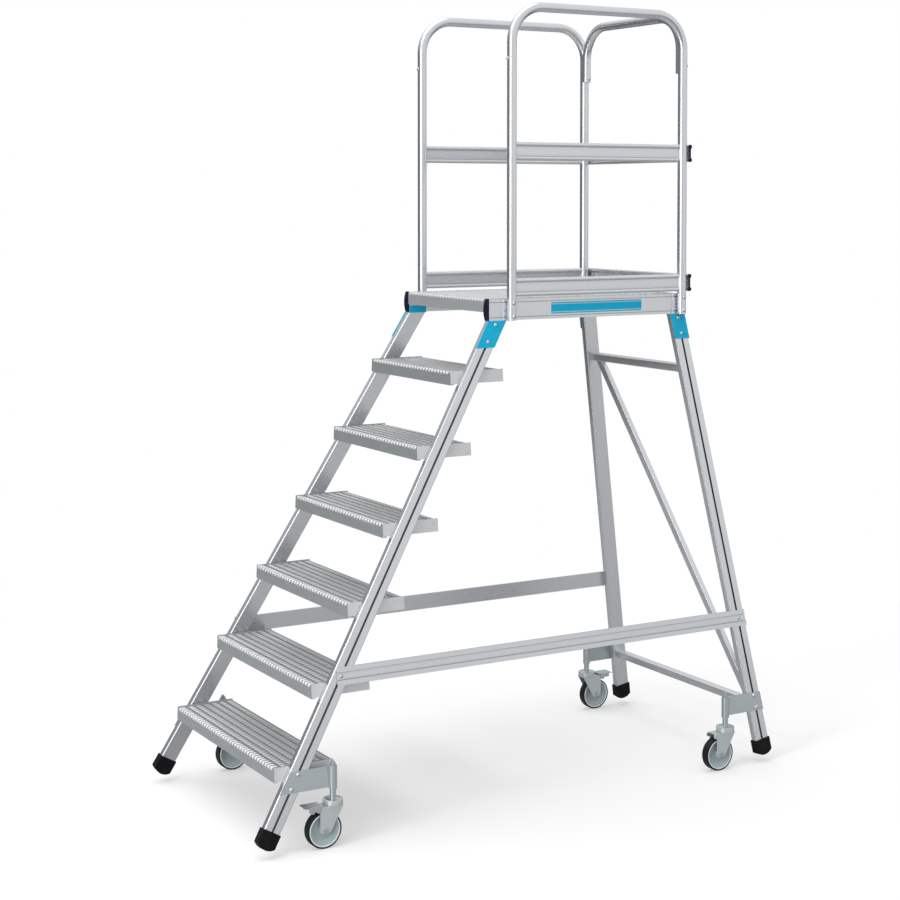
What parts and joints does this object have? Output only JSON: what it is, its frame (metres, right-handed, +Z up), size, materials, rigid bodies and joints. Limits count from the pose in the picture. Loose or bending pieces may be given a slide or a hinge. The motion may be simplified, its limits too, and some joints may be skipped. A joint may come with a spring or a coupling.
{
  "type": "mobile platform ladder",
  "caption": "Aluminium platform ladder with ribbed treads, a railed deck, splayed legs on rubber feet and sprung swivel casters that let it roll until it is stood on.",
  "frame": {"origin": "on the floor under the middle of the ladder", "axes": "+Z up, +Y from the climber to the back of the ladder, +X to the right of a climber who faces the treads"},
  "size_m": [0.9448, 2.0366, 2.7105],
  "materials": {
    "frame_aluminium": "satin mill finish",
    "tread_aluminium": "ribbed satin",
    "zinc_steel": "bright zinc plated",
    "bracket_blue": "satin powder coat",
    "cap_plastic": "moulded",
    "foot_rubber": "moulded",
    "tyre_rubber": "smooth rubber",
    "rim_grey": "moulded"
  },
  "bodies": {
    "frame": {"stringer_left": "frame_aluminium", "stringer_right": "frame_aluminium", "rear_leg_left": "frame_aluminium", "rear_leg_right": "frame_aluminium", "tread_1": "tread_aluminium", "tread_2": "tread_aluminium", "tread_3": "tread_aluminium", "tread_4": "tread_aluminium", "tread_5": "tread_aluminium", "tread_6": "tread_aluminium", "deck_planks": "tread_aluminium", "platform_beam_left": "frame_aluminium", "platform_beam_right": "frame_aluminium", "platform_rear_beam": "frame_aluminium", "beam_end_caps": "cap_plastic", "rear_crossbar_top": "frame_aluminium", "rear_crossbar_bottom": "frame_aluminium", "rear_diagonal_brace": "frame_aluminium", "side_brace_left": "frame_aluminium", "side_brace_right": "frame_aluminium", "leg_feet": "foot_rubber", "leg_brackets": "bracket_blue", "handrail_left": "frame_aluminium", "handrail_right": "frame_aluminium", "side_mid_rails": "frame_aluminium", "side_toe_boards": "frame_aluminium", "rear_handrail": "frame_aluminium", "rear_mid_rail": "frame_aluminium", "rear_toe_board": "frame_aluminium", "rear_rail_caps": "cap_plastic", "caster_brackets": "zinc_steel", "frame_bolts": "zinc_steel", "guardrail_bolts": "zinc_steel"},
    "front_right_stem": {"front_right_stem": "zinc_steel", "front_right_spring": "zinc_steel"},
    "front_right_fork": {"front_right_fork": "zinc_steel", "front_right_axle": "zinc_steel"},
    "front_right_wheel": {"front_right_rim": "rim_grey", "front_right_tyre": "tyre_rubber"},
    "front_right_pedal": {"front_right_pedal": "zinc_steel"},
    "front_left_stem": {"front_left_stem": "zinc_steel", "front_left_spring": "zinc_steel"},
    "front_left_fork": {"front_left_fork": "zinc_steel", "front_left_axle": "zinc_steel"},
    "front_left_wheel": {"front_left_rim": "rim_grey", "front_left_tyre": "tyre_rubber"},
    "rear_right_stem": {"rear_right_stem": "zinc_steel", "rear_right_spring": "zinc_steel"},
    "rear_right_fork": {"rear_right_fork": "zinc_steel", "rear_right_axle": "zinc_steel"},
    "rear_right_wheel": {"rear_right_rim": "rim_grey", "rear_right_tyre": "tyre_rubber"},
    "rear_left_stem": {"rear_left_stem": "zinc_steel", "rear_left_spring": "zinc_steel"},
    "rear_left_fork": {"rear_left_fork": "zinc_steel", "rear_left_axle": "zinc_steel"},
    "rear_left_wheel": {"rear_left_rim": "rim_grey", "rear_left_tyre": "tyre_rubber"},
    "rear_left_pedal": {"rear_left_pedal": "zinc_steel"}
  },
  "joints": [
    {"name": "front_right_suspension", "type": "slide", "parent": "frame", "child": "front_right_stem", "axis": [0, 0, 1], "range_m": [0, 0.024], "stiffness_N_per_m": 4000, "springref_m": -0.05, "deforming": ["front_right_spring"]},
    {"name": "front_right_swivel", "type": "hinge", "parent": "front_right_stem", "child": "front_right_fork", "pos_m": [0.43986, -0.75491, 0.152], "axis": [0, 0, 1], "continuous": true},
    {"name": "front_right_roll", "type": "hinge", "parent": "front_right_fork", "child": "front_right_wheel", "pos_m": [0.43986, -0.78991, 0.059], "axis": [1, 0, 0], "continuous": true},
    {"name": "front_right_brake", "type": "hinge", "parent": "front_right_fork", "child": "front_right_pedal", "pos_m": [0.43986, -0.81491, 0.127], "axis": [1, 0, 0], "range_deg": [0, 14]},
    {"name": "front_left_suspension", "type": "slide", "parent": "frame", "child": "front_left_stem", "axis": [0, 0, 1], "range_m": [0, 0.024], "stiffness_N_per_m": 4000, "springref_m": -0.05, "deforming": ["front_left_spring"]},
    {"name": "front_left_swivel", "type": "hinge", "parent": "front_left_stem", "child": "front_left_fork", "pos_m": [-0.43986, -0.75491, 0.152], "axis": [0, 0, 1], "continuous": true},
    {"name": "front_left_roll", "type": "hinge", "parent": "front_left_fork", "child": "front_left_wheel", "pos_m": [-0.44108, -0.71993, 0.059], "axis": [-0.9994, -0.0349, 0], "continuous": true},
    {"name": "rear_right_suspension", "type": "slide", "parent": "frame", "child": "rear_right_stem", "axis": [0, 0, 1], "range_m": [0, 0.024], "stiffness_N_per_m": 4000, "springref_m": -0.05, "deforming": ["rear_right_spring"]},
    {"name": "rear_right_swivel", "type": "hinge", "parent": "rear_right_stem", "child": "rear_right_fork", "pos_m": [0.43986, 0.81484, 0.152], "axis": [0, 0, 1], "continuous": true},
    {"name": "rear_right_roll", "type": "hinge", "parent": "rear_right_fork", "child": "rear_right_wheel", "pos_m": [0.44047, 0.77985, 0.059], "axis": [0.9998, 0.0175, 0], "continuous": true},
    {"name": "rear_left_suspension", "type": "slide", "parent": "frame", "child": "rear_left_stem", "axis": [0, 0, 1], "range_m": [0, 0.024], "stiffness_N_per_m": 4000, "springref_m": -0.05, "deforming": ["rear_left_spring"]},
    {"name": "rear_left_swivel", "type": "hinge", "parent": "rear_left_stem", "child": "rear_left_fork", "pos_m": [-0.43986, 0.81484, 0.152], "axis": [0, 0, 1], "continuous": true},
    {"name": "rear_left_roll", "type": "hinge", "parent": "rear_left_fork", "child": "rear_left_wheel", "pos_m": [-0.43925, 0.84984, 0.059], "axis": [-0.9998, 0.0175, 0], "continuous": true},
    {"name": "rear_left_brake", "type": "hinge", "parent": "rear_left_fork", "child": "rear_left_pedal", "pos_m": [-0.43881, 0.87483, 0.127], "axis": [-0.9998, 0.0175, 0], "range_deg": [0, 14]}
  ]
}
